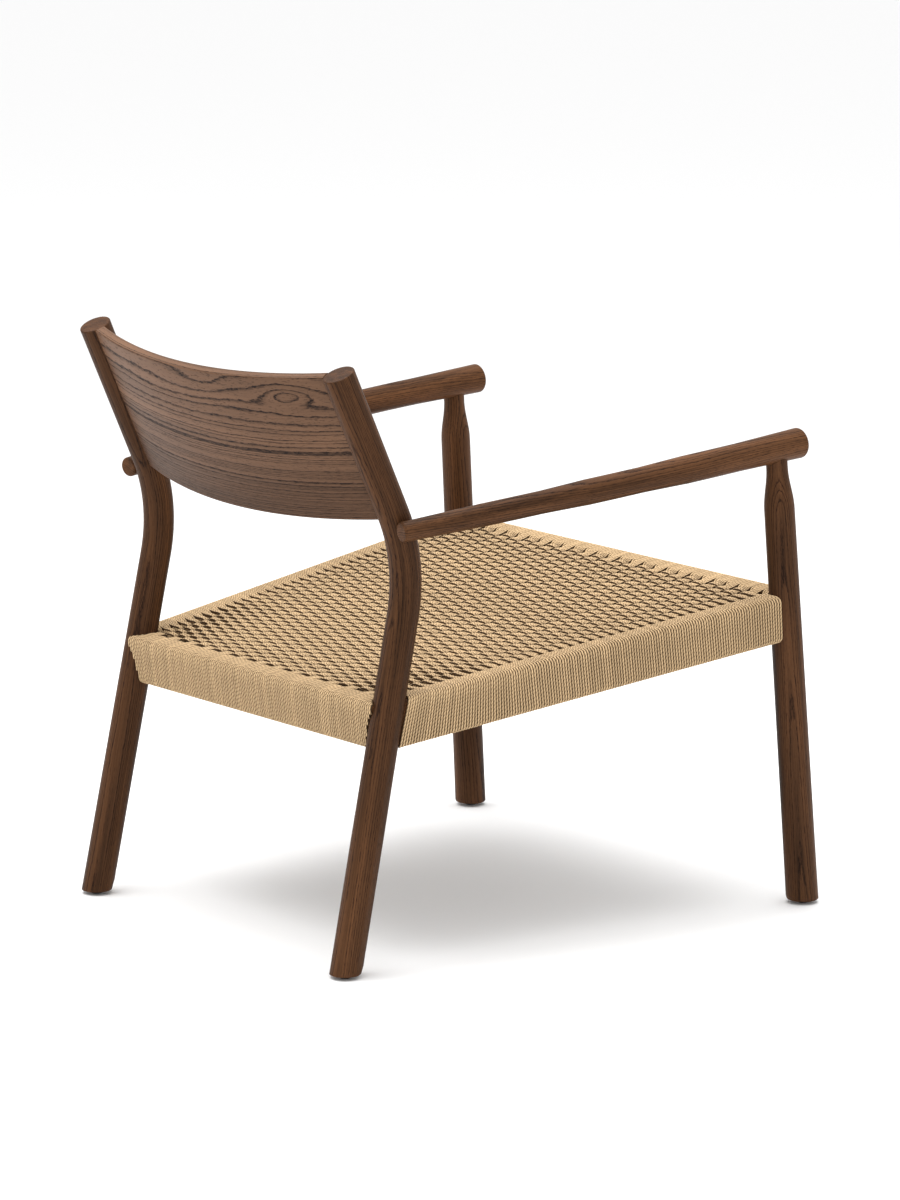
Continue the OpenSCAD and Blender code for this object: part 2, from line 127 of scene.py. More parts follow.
class CordSizes(bpy.types.PropertyGroup):
    """Sizes and colours of the seat cord and its weave"""

    diameter: distance("Diameter", "Thickness of the cord", 0.0036)
    pitch: distance("Pitch", "Spacing of the crossing cords", 0.00365, 5)
    crossing: IntProperty(
        name="Crossing cords", description="Number of cords from side to side",
        default=148, min=4, max=200)
    warps: IntProperty(
        name="Warps", description="Number of warps from front to rear, four cords each",
        default=26, min=4, max=40)
    front_pitch: distance("Front warp pitch", "Spacing of the warps on the front rail", 0.0226)
    rear_pitch: distance("Rear warp pitch", "Spacing of the warps on the rear rail", 0.0179)
    first_crossing: distance(
        "First crossing", "Distance of the first crossing cord from the rear edge", 0.0326)
    crossing_wave: distance(
        "Crossing wave", "Height that a crossing cord rises and dives in the weave", 0.0034)
    warp_wave: distance("Warp wave", "Height that a warp rises and dives in the weave", 0.0017)
    slack: distance("Slack", "How unevenly the hand-laid cords lie", 0.00016, 5)
    lay: distance("Lay", "Length in which a strand goes once round the cord", 0.0145)
    sides: IntProperty(
        name="Sides", description="Number of faces round a cord",
        default=8, min=5, max=12)
    seed: IntProperty(name="Seed", description="Seed of the weave's small unevenness", default=7)
    light: colour("Cord colour", "Colour of the cord", (0.640, 0.450, 0.252))
    # Painted shade in the grooves between the strands of the cord
    shade: colour("Groove colour", "Colour between the strands of the cord", (0.15, 0.070, 0.024))
    # Painted shade between and under the cords of the weave
    painted_crevice_shade: colour("Crevice colour", "Colour of the dust and shade under the weave", (0.036, 0.015, 0.005))


class WoodFinish(bpy.types.PropertyGroup):
    """Colours of the stained wood"""

    light: colour("Late wood", "Colour of the dense late wood", (0.073, 0.0315, 0.0132))
    dark: colour("Early wood", "Colour of the porous early wood", (0.014, 0.0055, 0.0028))
    panel_light: colour("Panel late wood", "Colour of the back panel's late wood", (0.146, 0.077, 0.044))
    panel_dark: colour("Panel early wood", "Colour of the back panel's early wood", (0.016, 0.0085, 0.0062))
    ring_width: distance("Ring width", "Mean width of a year's growth", 0.0030)
    panel_ring: distance("Panel ring width", "Width of a year's growth in the back panel", 0.0034)


class StudioSetting(bpy.types.PropertyGroup):
    """Camera and light"""

    azimuth: angle("Azimuth", "Camera direction; 0 looks along +Y", 231.43)
    elevation: angle("Elevation", "Camera height above the horizon", 11.57)
    distance: distance("Distance", "Distance of the camera", 6.8394)
    target: FloatVectorProperty(
        name="Target", description="Point that the camera's offsets are taken from",
        default=(0.0, 0.070, 0.350), subtype="TRANSLATION", size=3)
    offset: FloatVectorProperty(
        name="Offset", description="Sideways and upward move of the camera",
        default=(0.08678, 0.03082), subtype="TRANSLATION", size=2)
    lens: FloatProperty(
        name="Lens", description="Focal length on a 36 mm wide picture",
        default=222.77, min=20, max=400)
    floor_colour: colour("Floor", "Colour of the floor", (0.97, 0.97, 0.97))


# ---------- node helpers ----------


class Wire:
    """An output of a node tree, which plain arithmetic turns into Math nodes."""

    def __init__(self, tree, socket):
        self.tree, self.socket = tree, socket

    def math(self, operation, *others, clamp=False):
        inputs = dict(enumerate((self, *others)))
        node = add_node(self.tree, "ShaderNodeMath", inputs, operation=operation, use_clamp=clamp)
        return Wire(self.tree, node.outputs[0])

    def __add__(self, other):
        return self.math("ADD", other)

    def __sub__(self, other):
        return self.math("SUBTRACT", other)

    def __mul__(self, other):
        return self.math("MULTIPLY", other)

    def __truediv__(self, other):
        return self.math("DIVIDE", other)

    def span(self, low, high, to_low=0.0, to_high=1.0):
        """The value mapped smoothly from low and high to two others."""
        node = add_node(
            self.tree, "ShaderNodeMapRange",
            {"Value": self, "From Min": low, "From Max": high, "To Min": to_low, "To Max": to_high},
            interpolation_type="SMOOTHSTEP")
        return Wire(self.tree, node.outputs["Result"])

    def vector(self, operation, other=None, **inputs):
        node = add_node(
            self.tree, "ShaderNodeVectorMath", {0: self, 1: other, **inputs}, operation=operation)
        return Wire(self.tree, node.outputs[0])

    def split(self):
        """X, Y and Z of a vector."""
        node = add_node(self.tree, "ShaderNodeSeparateXYZ", {0: self})
        return [Wire(self.tree, socket) for socket in node.outputs]


def join(tree, socket, value):
    """Links a socket, or sets a plain value."""
    if isinstance(value, Wire):
        value = value.socket
    if isinstance(value, bpy.types.NodeSocket):
        tree.links.new(value, socket)
    elif value is not None:
        socket.default_value = value


def add_node(tree, kind, inputs=None, **settings):
    """Adds a node with its settings and inputs."""
    node = tree.nodes.new(kind)
    for name, value in settings.items():
        setattr(node, name, value)
    for key, value in (inputs or {}).items():
        join(tree, node.inputs[key], value)
    return node


def noise(place, factors, detail=2.0, rough=0.5, output="Fac"):
    """Noise over a place, with each axis multiplied first."""
    node = add_node(
        place.tree, "ShaderNodeTexNoise",
        {"Vector": place.vector("MULTIPLY", factors), "Scale": 1.0, "Detail": detail, "Roughness": rough},
        noise_dimensions="3D")
    return Wire(place.tree, node.outputs[output])


def blend_colour(tree, factor, a, b, mode="MIX"):
    node = add_node(tree, "ShaderNodeMix", data_type="RGBA", blend_type=mode)
    join(tree, node.inputs[0], factor)
    join(tree, node.inputs[6], a)
    join(tree, node.inputs[7], b)
    return node.outputs[2]


def toned(tree, base, tone):
    """A colour made lighter or darker by one value."""
    even = add_node(tree, "ShaderNodeCombineColor", {0: tone, 1: tone, 2: tone}).outputs[0]
    return blend_colour(tree, 1.0, base, even, "MULTIPLY")


def rgba(value):
    return (*value, 1.0)


def shader_group(name, inputs, outputs):
    """An empty shader group. Returns its tree, a function that gives an input by name, and one
    that joins the outputs."""
    tree = bpy.data.node_groups.new(name, "ShaderNodeTree")
    for label, kind, default in inputs:
        socket = tree.interface.new_socket(label, in_out="INPUT", socket_type="NodeSocket" + kind)
        if default is not None:
            socket.default_value = default
    for label, kind in outputs:
        tree.interface.new_socket(label, in_out="OUTPUT", socket_type="NodeSocket" + kind)
    source, sink = tree.nodes.new("NodeGroupInput"), tree.nodes.new("NodeGroupOutput")

    def given(label):
        return Wire(tree, source.outputs[label])

    def made(**values):
        for label, value in values.items():
            join(tree, sink.inputs[label], value)

    return tree, given, made


# ---------- shader groups ----------

SURFACE = [("Color", "Color"), ("Roughness", "Float"), ("Height", "Float")]

# How porous the wood is through one year's growth, from the early wood to the late wood
YEAR_STOPS = ((0.09, 0.95), (0.19, 0.40), (0.38, 0.06), (0.92, 0.0), (0.97, 0.45))
YEAR_START, YEAR_END = 1.0, 0.9


def wood_grain_group():
    """Growth rings, pores and fibre of ring-porous wood. Z runs along the grain and the
    pith lies on the Z axis, all in metres."""
    tree, given, made = shader_group(
        "ring_porous_wood",
        [
            ("Board", "Vector", None), ("Ring Width", "Float", 0.003), ("Wander", "Float", 0.004),
            ("Feather", "Float", 0.0012), ("Late Wood", "Color", None), ("Early Wood", "Color", None),
            ("Line Strength", "Float", 1.0), ("Streak Strength", "Float", 0.5),
        ],
        SURFACE)
    board = given("Board")
    # The rings wander slowly along the tree, and their edges feather along the fibre
    slow = noise(board, (26, 26, 4.5), output="Color").vector("SUBTRACT", (0.5, 0.5, 0.5))
    x, y, _ = board.vector("ADD", slow.vector("SCALE", Scale=given("Wander"))).split()
    reach = (x * x + y * y).math("SQRT")
    ragged = (noise(board, (430, 430, 75), 3.0, 0.65) - 0.5) * given("Feather")
    uneven = Wire(tree, add_node(
        tree, "ShaderNodeTexNoise", {"W": reach * 110.0, "Scale": 1.0, "Detail": 1.0},
        noise_dimensions="1D").outputs["Fac"])
    year = ((reach + ragged) / given("Ring Width") + uneven * 2.6).math("FRACT")
    stops = add_node(tree, "ShaderNodeValToRGB", {0: year})
    ramp = stops.color_ramp
    ramp.elements[0].color, ramp.elements[1].color = rgba([YEAR_START] * 3), rgba([YEAR_END] * 3)
    for place, value in YEAR_STOPS:
        ramp.elements.new(place).color = rgba([value] * 3)
    early = Wire(tree, stops.outputs[0])
    # Pores: short dashes along the grain, crowded in the early wood
    dash = noise(board, (1500, 1500, 130), 1.0)
    crowd = early * (dash.span(0.50, 0.60) * 0.55 + 0.45)
    sparse = dash.span(0.60, 0.68) * 0.30
    line = crowd.math("MAXIMUM", sparse).math("MULTIPLY", given("Line Strength"), clamp=True)
    fibre = noise(board, (620, 620, 11), 3.0, 0.6)
    streak = noise(board, (95, 95, 1.6))
    broad = noise(board, (14, 14, 3.2), 1.0)
    tone = (fibre - 0.5) * 0.9 + (streak - 0.5) * 1.3 + (broad - 0.5) * 0.9
    tone = (tone * given("Streak Strength") + 1.0).math("MAXIMUM", 0.25)
    made(
        Color=toned(tree, blend_colour(tree, line, given("Late Wood"), given("Early Wood")), tone),
        Roughness=line * 0.16 + 0.43 + (fibre - 0.5) * 0.14,
        Height=fibre * 0.22 - crowd * 0.8)
    return tree


def twisted_cord_group():
    """Strands, grooves and paper creases of a twisted cord, with painted shade in the grooves. Run is the
    length along the cord and Turn points round it. Gap is how squarely a face looks at the next cord, and
    Depth is a painted shade from 0 to 1, most where it lies deep in the weave; both darken the colour towards
    Crevice, a painted shade."""
    tree, given, made = shader_group(
        "twisted_cord",
        [
            ("Run", "Float", 0.0), ("Turn", "Vector", None), ("Tone", "Float", 0.5),
            ("Lay", "Float", 0.0145), ("Strands", "Float", 3.0), ("Cord", "Color", None),
            ("Groove", "Color", None), ("Crevice", "Color", None), ("Place", "Vector", None),
            ("Gap", "Float", 0.0), ("Depth", "Float", 0.0),
        ],
        SURFACE)
    turn_x, turn_y, _ = given("Turn").split()
    laps = given("Run") / given("Lay") * (-2 * math.pi) + given("Tone") * 47.0
    phase = (turn_y.math("ARCTAN2", turn_x) + laps) * (given("Strands") * 0.5)
    round_top = phase.math("SINE").math("ABSOLUTE")
    groove = round_top.span(0.0, 0.55, 1.0, 0.0)
    crease = noise(given("Place"), (1500, 1500, 1500), 2.0, 0.6)
    patch = noise(given("Place"), (48, 48, 48), 2.0, 0.55)
    tone = (given("Tone") - 0.5) * 0.20 + 1.0 + (crease - 0.5) * 0.34 + (patch - 0.5) * 0.22
    # The grooves between the strands are darkened towards Groove, a painted shade
    base = toned(tree, blend_colour(tree, groove * 0.78, given("Cord"), given("Groove")), tone)
    # Painted shade between neighbouring cords, most where the strands sink in, and under the weave
    gap_shade = (groove * 0.28 + given("Gap")).span(0.44, 1.0)
    shade = gap_shade.math("MAXIMUM", given("Depth") * 0.97, clamp=True)
    made(
        Color=blend_colour(tree, shade, base, given("Crevice")),
        Roughness=groove * 0.12 + 0.66,
        Height=round_top.math("POWER", 0.55) + crease * 0.16)
    return tree


def bend_follow_group():
    """Straightens the coordinates of a member bent once in the YZ plane, so that the grain
    follows it. Z stays as it is."""
    tree, given, made = shader_group(
        "follow_bend",
        [
            ("Place", "Vector", None), ("Foot X", "Float", 0.0), ("Foot Y", "Float", 0.0),
            ("Lean", "Float", 0.0), ("Slope Below", "Float", 0.0), ("Slope Change", "Float", 0.0),
            ("Bend Height", "Float", 0.5), ("Bend Softness", "Float", 0.05),
        ],
        [("Board", "Vector")])
    x, y, z = given("Place").split()
    over = (z - given("Bend Height")).math("SMOOTH_MAX", 0.0, given("Bend Softness"))
    centre = z * given("Slope Below") + given("Foot Y") + over * given("Slope Change")
    side = z * given("Lean") + given("Foot X")
    made(Board=add_node(tree, "ShaderNodeCombineXYZ", {0: x - side, 1: y - centre, 2: z}).outputs[0])
    return tree


def unroll_group():
    """Unrolls a bent board round the Z axis into the heights up it, through it and along its
    curve."""
    tree, given, made = shader_group(
        "unroll_board",
        [("Place", "Vector", None), ("Radius", "Float", 0.7)],
        [("Up", "Float"), ("Through", "Float"), ("Along", "Float")])
    x, y, z = given("Place").split()
    reach = (x * x + y * y).math("SQRT")
    made(Up=z, Through=reach - given("Radius"), Along=x.math("ARCTAN2", y) * given("Radius"))
    return tree


def swelling_group():
    """A rounded bump of 1 at a centre on a board, falling to 0 round it."""
    tree, given, made = shader_group(
        "grain_swelling",
        [
            ("Along", "Float", 0.0), ("Up", "Float", 0.0), ("Centre Along", "Float", 0.0),
            ("Centre Up", "Float", 0.0), ("Length", "Float", 0.05), ("Width", "Float", 0.02),
        ],
        [("Swelling", "Float")])
    a = (given("Along") - given("Centre Along")) / given("Length")
    b = (given("Up") - given("Centre Up")) / given("Width")
    made(Swelling=((a * a + b * b) * -1.0).math("EXPONENT"))
    return tree


GROUP_MAKERS = {
    "ring_porous_wood": wood_grain_group,
    "twisted_cord": twisted_cord_group,
    "follow_bend": bend_follow_group,
    "unroll_board": unroll_group,
    "grain_swelling": swelling_group,
}


def use_group(tree, name, inputs):
    """Places a shader group, made the first time, and gives its outputs by name."""
    group = bpy.data.node_groups.get(name) or GROUP_MAKERS[name]()
    node = add_node(tree, "ShaderNodeGroup", node_tree=group)
    for key, value in inputs.items():
        join(tree, node.inputs[key], value)
    return {socket.name: Wire(tree, socket) for socket in node.outputs}


# ---------- materials ----------

FRAME_GRAIN = {"Wander": 0.006, "Feather": 0.0013, "Line Strength": 1.3, "Streak Strength": 1.4}
ARM_GRAIN = {**FRAME_GRAIN, "Wander": 0.008}
PANEL_GRAIN = {"Wander": 0.007, "Feather": 0.0016, "Line Strength": 1.6, "Streak Strength": 0.60}
WOOD_GLOSS = {"Specular IOR Level": 0.07}


def new_material(name):
    """A material with a Principled BSDF, its tree, and the place on the object."""
    material = bpy.data.materials.new(name)
    material.use_nodes = True
    tree = material.node_tree
    tree.nodes.clear()
    shader = tree.nodes.new("ShaderNodeBsdfPrincipled")
    out = tree.nodes.new("ShaderNodeOutputMaterial")
    tree.links.new(shader.outputs[0], out.inputs[0])
    return material, tree, shader, Wire(tree, tree.nodes.new("ShaderNodeTexCoord").outputs["Object"])


def dress(tree, shader, base, rough, height, strength, depth, plain):
    """Joins colour, roughness and bump to the shader, and sets its plain inputs."""
    bump = add_node(tree, "ShaderNodeBump", {"Height": height, "Strength": strength, "Distance": depth})
    for label, value in {"Base Color": base, "Roughness": rough, "Normal": bump.outputs[0], **plain}.items():
        join(tree, shader.inputs[label], value)


def turned_place(place, base, turned):
    """Coordinates from a base point, in turned axes."""
    node = add_node(place.tree, "ShaderNodeMapping", {
        "Vector": place, "Location": -(turned @ base), "Rotation": turned.to_euler()},
        vector_type="POINT")
    return node.outputs[0]


def wood_surface(tree, board, light, dark, ring_width, grain):
    return use_group(tree, "ring_porous_wood", {
        "Board": board, "Ring Width": ring_width,
        "Late Wood": rgba(light), "Early Wood": rgba(dark), **grain})


def frame_wood(tree, shader, board, light, dark, ring_width, grain):
    wood = wood_surface(tree, board, light, dark, ring_width, grain)
    dress(tree, shader, wood["Color"], wood["Roughness"], wood["Height"], 0.55, 0.00022, WOOD_GLOSS)


def straight_wood(name, start, end, pith, turn, light, dark, ring_width, grain=FRAME_GRAIN):
    """Stained wood with its grain along a straight member. The pith lies at a distance from
    the member's axis, in the direction turn; a slight tilt lets the rings run out."""
    material, tree, shader, place = new_material(name)
    along = (Vector(end) - Vector(start)).normalized()
    across = along.cross(Vector((0, 1, 0.2))).normalized()
    other = along.cross(across)
    side = across * math.cos(turn) + other * math.sin(turn)
    other = other * math.cos(turn) - across * math.sin(turn)
    tilt = Matrix.Rotation(math.radians(0.9), 3, other)
    turned = Matrix([tilt @ axis for axis in (side, other, along)])
    board = turned_place(place, Vector(start) + side * pith, turned)
    frame_wood(tree, shader, board, light, dark, ring_width, grain)
    return material


def bent_leg_wood(name, foot, lean, sizes, pith, light, dark, ring_width):
    """Stained wood whose grain follows a leg bent at the knee."""
    material, tree, shader, place = new_material(name)
    straight = use_group(tree, "follow_bend", {
        "Place": place, "Foot X": foot.x, "Foot Y": foot.y, "Lean": lean,
        "Slope Below": sizes.leg_slope, "Slope Change": sizes.slope_change,
        "Bend Height": sizes.knee_z, "Bend Softness": 0.11})
    placed = add_node(tree, "ShaderNodeMapping", {
        "Vector": straight["Board"], "Location": pith,
        "Rotation": (math.radians(0.7), math.radians(-0.6), 0)}, vector_type="POINT")
    frame_wood(tree, shader, placed.outputs[0], light, dark, ring_width, FRAME_GRAIN)
    return material


def panel_wood(finish, sizes, knee):
    """Bold flat-sawn grain across the bent back panel, with two flames near its top."""
    material, tree, shader, place = new_material("panel_ash_stained")
    low, high, sagitta = sizes.panel_low, sizes.panel_high, sizes.panel_sagitta
    radius = (sizes.panel_half ** 2 + sagitta ** 2) / (2 * sagitta)
    turned = Matrix.Rotation(sizes.panel_rake, 3, "X")
    base = knee + turned.inverted() @ Vector((0, sizes.panel_set_back + sagitta - radius, 0))
    flat = use_group(tree, "unroll_board", {"Place": turned_place(place, base, turned), "Radius": radius})
    up, through, along = flat["Up"], flat["Through"], flat["Along"]

    def swelling(centre, rise, length, width):
        """A bump on the panel, at a share of its height."""
        return use_group(tree, "grain_swelling", {
            "Along": along, "Up": up, "Centre Along": centre, "Centre Up": low + rise * (high - low),
            "Length": length, "Width": width})["Swelling"]

    flame = swelling(-0.170, 0.875, 0.040, 0.0125)
    cloud = swelling(-0.020, 0.93, 0.055, 0.016)
    # The board is flat-sawn at its upper edge; lower down the rings are cut across and grow narrow
    fall = (up - high) * -1.0
    out = fall * (fall * -2.6 - 0.35)
    board = add_node(tree, "ShaderNodeCombineXYZ", {
        0: out - 0.020, 1: through + 0.075 + (flame * 0.0066 - cloud * 0.0022), 2: along})
    wood = wood_surface(
        tree, board.outputs[0], finish.panel_light, finish.panel_dark, finish.panel_ring, PANEL_GRAIN)
    low_shade = fall.span(0.085, 0.190)
    shaded = blend_colour(tree, low_shade, wood["Color"], (0.62, 0.60, 0.58, 1), "MULTIPLY")
    dress(tree, shader, shaded, wood["Roughness"], wood["Height"], 0.55, 0.00030, WOOD_GLOSS)
    return material


def cord_material(sizes):
    """Natural twisted paper cord."""
    material, tree, shader, place = new_material("seat_paper_cord")
    # Gap and Depth carry the painted shade between and under the cords
    carried = {
        label: add_node(
            tree, "ShaderNodeAttribute", attribute_name="cord_" + label.lower(),
            attribute_type="GEOMETRY").outputs["Vector" if label == "Turn" else "Fac"]
        for label in ("Run", "Turn", "Tone", "Gap", "Depth")
    }
    cord = use_group(tree, "twisted_cord", {
        **carried, "Lay": sizes.lay, "Strands": 3.0, "Place": place,
        "Cord": rgba(sizes.light), "Groove": rgba(sizes.shade), "Crevice": rgba(sizes.painted_crevice_shade)})
    dress(tree, shader, cord["Color"], cord["Roughness"], cord["Height"], 0.8, 0.00045,
          {"Specular IOR Level": 0.15})
    return material


def nail_steel():
    """Drawn steel wire with a few dull spots."""
    material, tree, shader, place = new_material("nail_steel_drawn")
    draw = noise(place, (2600, 2600, 300), 2.0, 0.6)
    spots = noise(place, (380, 380, 380)).span(0.45, 0.75)
    base = blend_colour(tree, spots, (0.52, 0.51, 0.49, 1), (0.33, 0.30, 0.27, 1))
    dress(tree, shader, base, draw * 0.28 + 0.20, draw, 0.3, 0.00005, {"Metallic": 1.0})
    return material


def glide_plastic():
    """Black plastic with a fine grain, scuffed in places."""
    material, tree, shader, place = new_material("glide_black_plastic")
    grain = noise(place, (1900, 1900, 1900), 2.0, 0.55)
    scuff = noise(place, (160, 160, 900), 3.0, 0.6).span(0.5, 0.8)
    base = blend_colour(tree, scuff, (0.014, 0.013, 0.013, 1), (0.05, 0.047, 0.045, 1))
    dress(tree, shader, base, grain * 0.22 + 0.46, grain, 0.35, 0.00008, {})
    return material


def give(node, material):
    """Puts a material on every slot of a CAD node."""
    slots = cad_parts[node].data.materials
    if not slots:
        slots.append(material)
    for i in range(len(slots)):
        slots[i] = material


# ---------- cord paths, in the seat's own frame ----------


# A leg as a leaning bar: half width between the axes, depth at mid rail, lean against the seat, radius
Leg = namedtuple("Leg", "half depth lean radius")


def corner(cx, cz, r, start, steps=4):
    """Points of a quarter turn, clockwise from the angle start in degrees."""
    angles = [math.radians(start - 90 * i / steps) for i in range(steps + 1)]
    return [(cx + r * math.cos(a), cz + r * math.sin(a)) for a in angles]


def rail_outline(seat, d):
    """The cord's centre line round a rail. Gives half its width, its corner radius, its top, its
    middle, the lower turn from the inner face to the outer one, and the outer upper corner. Each
    point is (towards the seat's middle, up from the seat's surface)."""
    hw = (seat.rail_width - d) / 2
    top, bottom = -d / 2, -seat.rail_height + d / 2
    r = seat.rail_corner - d / 2
    lower = [(hw, bottom + r + 0.004)] + corner(hw - r, bottom + r, r, 0) + [(0, bottom)]
    lower += corner(-hw + r, bottom + r, r, -90)
    return hw, r, top, (top + bottom) / 2, lower, corner(-hw + r, top - r, r, 180)


def rail_section(seat, d):
    """The way of a cord round a rail from the nail to the inner upper edge."""
    hw, _, top, middle, lower, upper = rail_outline(seat, d)
    points = [(hw, -seat.nail_drop), (hw, -seat.nail_drop - 0.012)] + lower
    points += [(-hw, middle - 0.012), (-hw, middle + 0.012)] + upper
    return points + [(-hw * 0.35, top), (hw * 0.3, top), (hw * 0.8, top - 0.0001)]


def full_ring(seat, d):
    """One plain turn round a rail."""
    hw, r, top, middle, lower, upper = rail_outline(seat, d)
    return [(hw, middle)] + lower + [(-hw, middle)] + upper + [(0, top)] + corner(hw - r, top - r, r, 90)


class Weave:
    """Works out where every cord of the seat lies, in the seat's own frame. It starts at the middle
    of the rear upper edge, with Y up the slope to the rear and Z square to the seat."""

    REAR_AXIS = 0.016       # the rear legs' axis in front of the seat's rear edge
    FRONT_AXIS = 0.0185     # the front legs' axis behind the seat's front edge
    LEG_GAP = 0.0004        # from a leg to the centre line of a cord cut at it
    LEG_CLEARANCE = 0.0002  # from a leg to a crossing cord that lies along it
    FRONT_SPACING = 0.00372  # between the four cords of a warp on the front rail
    REAR_SPACING = 0.0036   # the same on the rear rail
    FILL_SPACING = 0.00375  # between the two plain turns that fill a gap on the front rail
    FRONT_ENDS = 5          # plain turns beyond the last warp on the front rail
    REAR_ENDS = 4           # the same on the rear rail
    SQUEEZE_UNDER = 0.00045  # how far a pair of cords is pressed together under a warp
    SQUEEZE_OVER = 0.00024  # the same over a warp
    BEND_REACH = 0.13       # how far in from a side rail the cords' bend round a leg is felt
    INNER_TURN = 0.0023     # radius of the inner turn over a nail
    OUTER_TURN = 0.0055     # radius of a warp's outer turn over a nail
    OUTER_PROUD = 0.0007    # how far an outer turn stands off the rail
    CUT_STEP = 0.0015       # steps in which a turn is tested against the legs
    # Painted shade from 0 to 1 that darkens the cord's colour: on the rails' faces below FACE_DEPTH, on a cut
    # end, and where a cord begins to dive
    FACE_SHADE = 0.17       # shade on the faces of the rails, from 0 to 1
    FACE_DEPTH = 0.009      # where those faces begin below the seat
    CUT_SHADE = 0.85        # shade on a cord's cut end
    DIP_SHADE = 0.20        # shade where a crossing cord begins to dive
    WARP_DIP_SHADE = 0.30   # shade where a warp begins to dive

    def __init__(self, seat, cord):
        self.seat, self.cord = seat, cord
        self.rng = random.Random(cord.seed)
        self.d = cord.diameter
        front_axis = -seat.depth + self.FRONT_AXIS
        self.rear_axis_y = -self.REAR_AXIS
        self.yaw = math.atan2(seat.front_half - seat.rear_half, self.rear_axis_y - front_axis)
        self.rear_rail_y = -seat.rail_width / 2
        self.front_rail_y = -seat.depth + seat.rail_width / 2
        self.rear_inner = -seat.rail_width
        self.front_inner = -seat.depth + seat.rail_width
        self.level = -self.d / 2 - cord.crossing_wave - 0.0001
        self.section = rail_section(seat, self.d)
        self.ring = full_ring(seat, self.d)
        self.legs = (
            Leg(seat.rear_half, self.rear_axis_y, 0.3498, 0.0193),
            Leg(seat.front_half, front_axis, 0.0517, 0.0192),
        )
        turn = Matrix.Rotation(-seat.slope, 4, "X")
        self.to_world = Matrix.Translation((0, seat.rear_y, seat.rear_z)) @ turn

    def place(self, points):
        """World points, each with its painted shade from 0 to 1, most where it lies deep in the weave. The
        faces of the rails get a little painted shade, darker than their tops."""
        return [
            (self.to_world @ Vector(p[:3]),
             p[3] if len(p) > 3 else self.FACE_SHADE * (p[2] < -self.FACE_DEPTH))
            for p in points]

    def inside_leg(self, x, y, z):
        """Whether a cord's centre line has reached a leg here."""
        for leg in self.legs:
            axis_y = leg.depth - leg.lean * (z + self.seat.rail_height / 2)
            away = math.hypot(abs(x) - leg.half, (y - axis_y) / math.hypot(1, leg.lean))
            if away < leg.radius + self.LEG_GAP:
                return True
        return False

    def beside_leg(self, y, z, u):
        """Depth of a crossing cord on a side rail. The cords lie along a leg beside it and
        fan out from it over a short length."""
        for leg, way, fan, end in (
            (self.legs[0], -1, 0.17, self.crossing_y(0)),
            (self.legs[1], 1, 0.10, self.crossing_y(self.cord.crossing - 1)),
        ):
            across = min(leg.radius + self.d / 2, abs(u + self.seat.side_inset))
            reach = math.sqrt((leg.radius + self.d / 2) ** 2 - across ** 2) * math.hypot(1, leg.lean)
            edge = leg.depth - leg.lean * (z + self.seat.rail_height / 2) + way * (reach + self.LEG_CLEARANCE)
            free = end + way * fan
            if (y - free) * way < 0:
                y = free + (y - free) * (edge - free) / (end - free)
        return y

    def clipped_turn(self, ring):
        """The parts of a plain turn that lie clear of the legs, each with whether it is closed."""
        fine = []
        for a, b in zip(ring, ring[1:] + ring[:1]):
            steps = max(1, round(math.dist(a, b) / self.CUT_STEP))
            fine += [tuple(p + (q - p) * i / steps for p, q in zip(a, b)) for i in range(steps)]
        hit = [self.inside_leg(*p) for p in fine]
        if not any(hit):
            return [(ring, True)]
        first = hit.index(True)
        runs, run = [], []
        for i in range(len(fine) + 1):
            k = (first + i) % len(fine)
            if hit[k]:
                if len(run) > 3:
                    # the two cut ends of a run get painted shade where they meet the leg
                    ends = (0, len(run) - 1)
                    runs.append((
                        [(*p, self.CUT_SHADE if n in ends else 0.0) for n, p in enumerate(run)], False))
                run = []
            else:
                run.append(fine[k])
        return runs

    def side_centre(self, y):
        """Distance of a side rail's centre line from the middle, at a depth."""
        inset = self.seat.side_inset / math.cos(self.yaw)
        return self.seat.rear_half + (self.rear_axis_y - y) * math.tan(self.yaw) - inset

    def warp_x(self, warp, y):
        """Middle of a warp at a depth; the warps fan out to the front."""
        c = self.cord
        t = min(1.0, max(0.0, (self.rear_inner - y) / (self.rear_inner - self.front_inner)))
        return (warp - (c.warps - 1) / 2) * (c.rear_pitch + (c.front_pitch - c.rear_pitch) * t)

    def crossing_y(self, k):
        """Depth of a crossing cord; number 0 is the rearmost."""
        return -self.cord.first_crossing - self.cord.pitch * (k + 0.5)

    def loosen(self, amount=1.0):
        """A small random move, as hand-laid cord has."""
        return self.rng.gauss(0, self.cord.slack * amount)

    # side to side

    def crossing_cord(self, k):
        """One crossing cord, from the nails of the right rail to those of the left one."""
        y, pair = self.crossing_y(k), k // 2
        flat = 1 / math.cos(self.yaw)
        side = []
        for u, z in self.section:
            moved = self.beside_leg(y, z, u)
            side.append((-self.side_centre(moved) + u * flat, moved, z))
        shift = side[-1][1] - y
        over = [1 if (warp + pair) % 2 == 0 else -1 for warp in range(self.cord.warps)]
        half = 2 * self.d
        wave = self.cord.crossing_wave
        middle = []
        lean = 1 if k % 2 else -1
        for warp in range(self.cord.warps):
            x, s = self.warp_x(warp, y), over[warp]
            tight = self.loosen(0.6)
            for step, rise in ((-0.80, 0.86), (-0.30, 1.0), (0.30, 1.0), (0.80, 0.86)):
                # where a pair goes under the warp its two cords are pressed together
                squeeze = (self.SQUEEZE_UNDER if s < 0 else self.SQUEEZE_OVER) * lean
